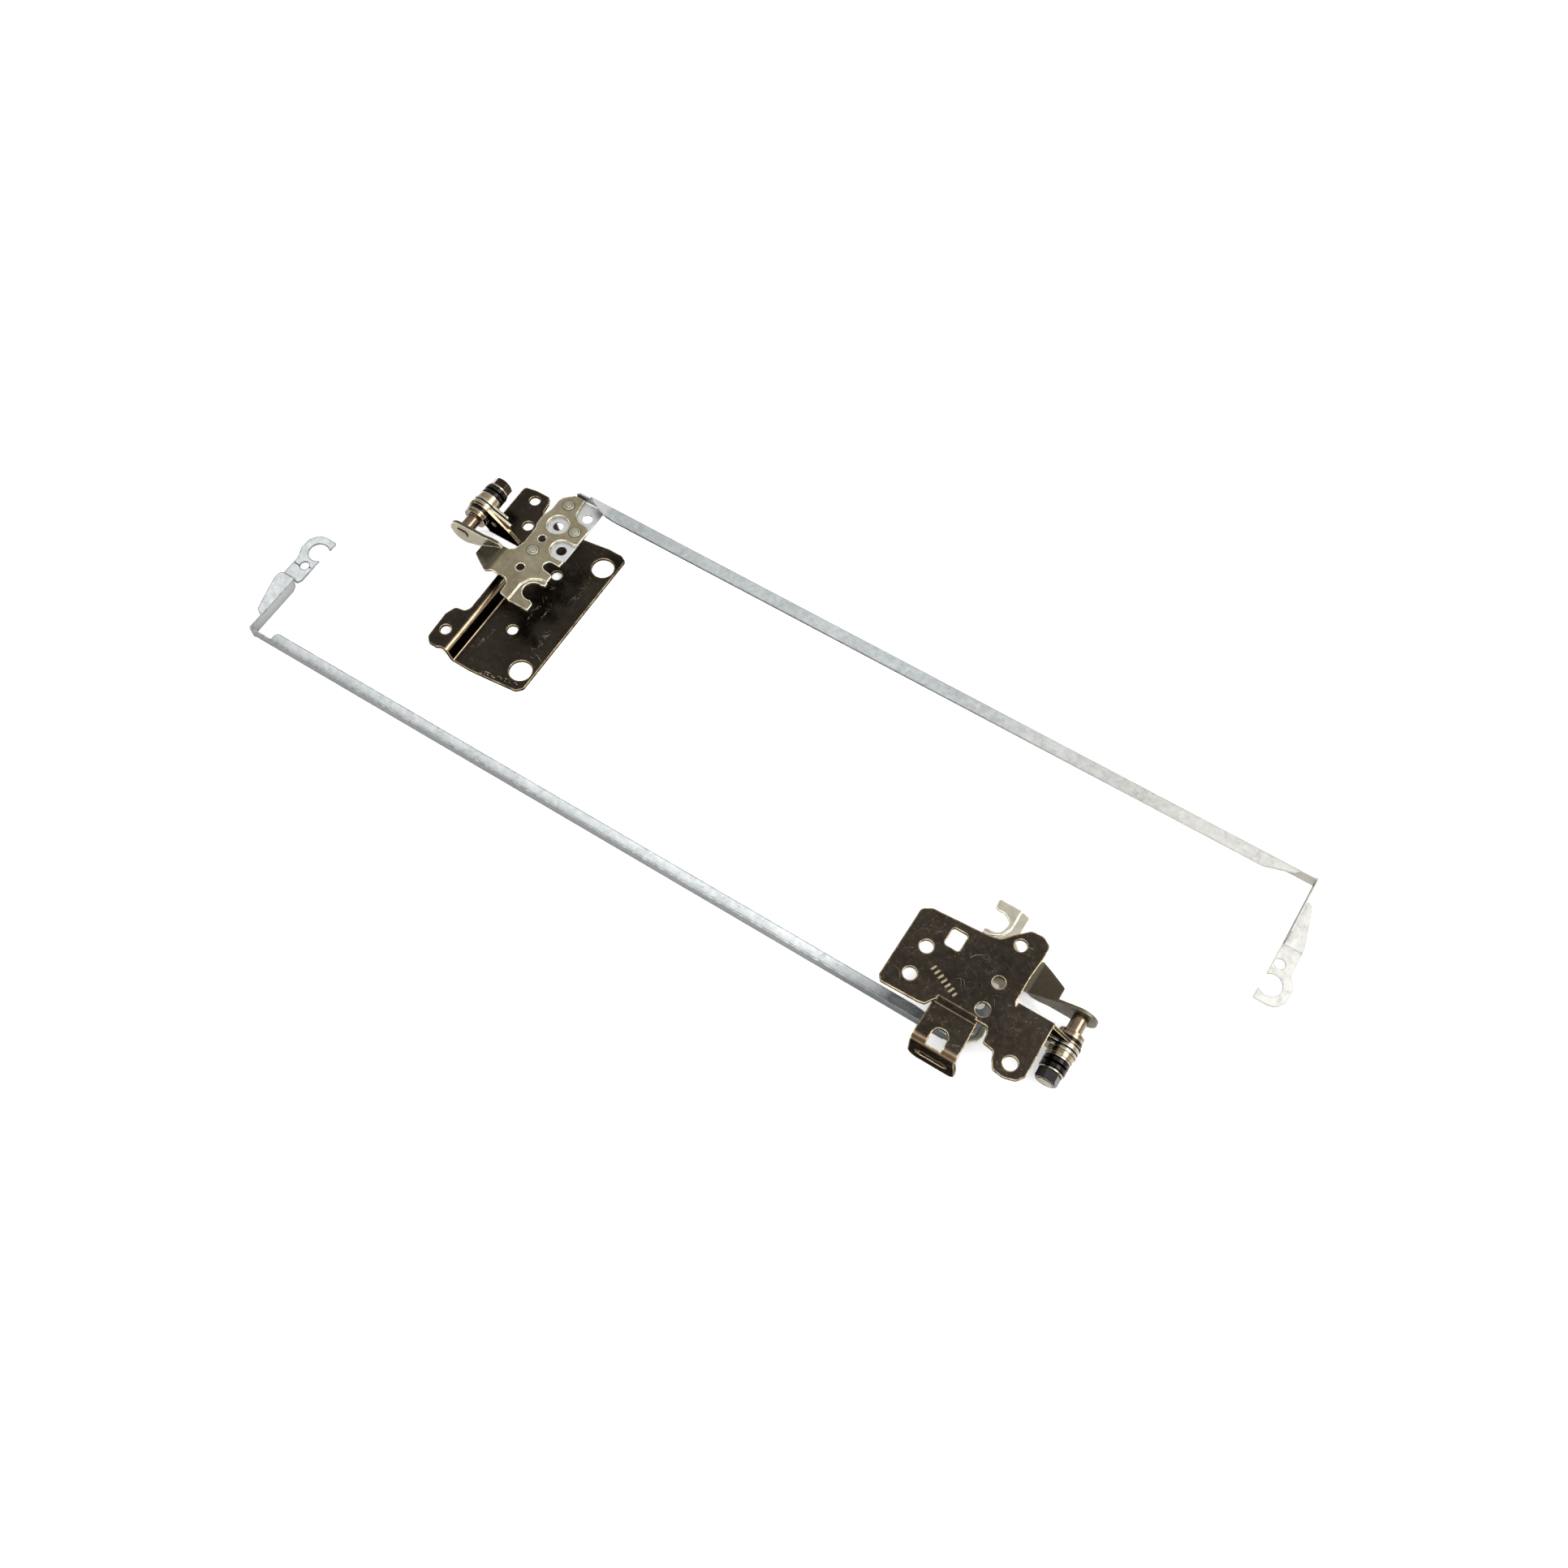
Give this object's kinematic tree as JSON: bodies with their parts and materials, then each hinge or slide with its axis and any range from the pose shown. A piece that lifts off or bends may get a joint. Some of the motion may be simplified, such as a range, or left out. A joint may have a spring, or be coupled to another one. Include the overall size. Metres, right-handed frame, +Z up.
{
  "type": "notebook lid friction hinge pair",
  "caption": "Matched left and right friction hinges for a notebook lid, each with a folded base plate, a friction pack on its shaft, a lid bracket and a long hooked side rail.",
  "frame": {"origin": "centre of the footprint of the pair, on the surface it rests on", "axes": "+X along the side rails, from the far corner of the left hinge toward its shaft, +Y across to the right hinge, +Z up"},
  "size_m": [0.2996, 0.091, 0.0151],
  "materials": {
    "dark_steel": "black nickel plated sheet steel, bright worn edges",
    "nickel_steel": "dull nickel plated sheet steel, slightly warm",
    "zinc_steel": "galvanised thin sheet steel, fine spangle",
    "shaft_steel": "oiled turned steel",
    "bronze_washer": "oiled bronze coloured pressed steel",
    "washer_steel": "pressed nickel plated steel",
    "black_oxide": "oiled black oxide spring steel"
  },
  "bodies": {
    "base": {"right_base_plate": "dark_steel", "right_friction_plate_inner": "washer_steel", "right_friction_plate_outer": "washer_steel", "left_base_plate": "dark_steel", "left_friction_plate_inner": "washer_steel", "left_friction_plate_outer": "washer_steel"},
    "right_lid": {"right_lid_bracket": "nickel_steel", "right_side_rail": "zinc_steel", "right_rail_rivets": "nickel_steel", "right_shaft": "shaft_steel", "right_thrust_washer": "bronze_washer", "right_keyed_washer": "black_oxide", "right_friction_disc": "black_oxide", "right_pressure_cam": "bronze_washer", "right_spacer_washer": "washer_steel", "right_disc_springs": "black_oxide", "right_end_washer": "washer_steel", "right_lock_nut": "black_oxide"},
    "left_lid": {"left_lid_bracket": "nickel_steel", "left_side_rail": "zinc_steel", "left_rail_rivets": "nickel_steel", "left_shaft": "shaft_steel", "left_thrust_washer": "bronze_washer", "left_keyed_washer": "black_oxide", "left_friction_disc": "black_oxide", "left_pressure_cam": "bronze_washer", "left_spacer_washer": "washer_steel", "left_disc_springs": "black_oxide", "left_end_washer": "washer_steel", "left_lock_nut": "black_oxide"}
  },
  "joints": [
    {"name": "right_lid_hinge", "type": "hinge", "parent": "base", "child": "right_lid", "pos_m": [-0.11021, 0.02705, 0.0087], "axis": [0, -1, 0], "range_deg": [0, 135]},
    {"name": "left_lid_hinge", "type": "hinge", "parent": "base", "child": "left_lid", "pos_m": [0.10827, -0.02482, 0.0064], "axis": [0, -1, 0], "range_deg": [0, 135]}
  ]
}
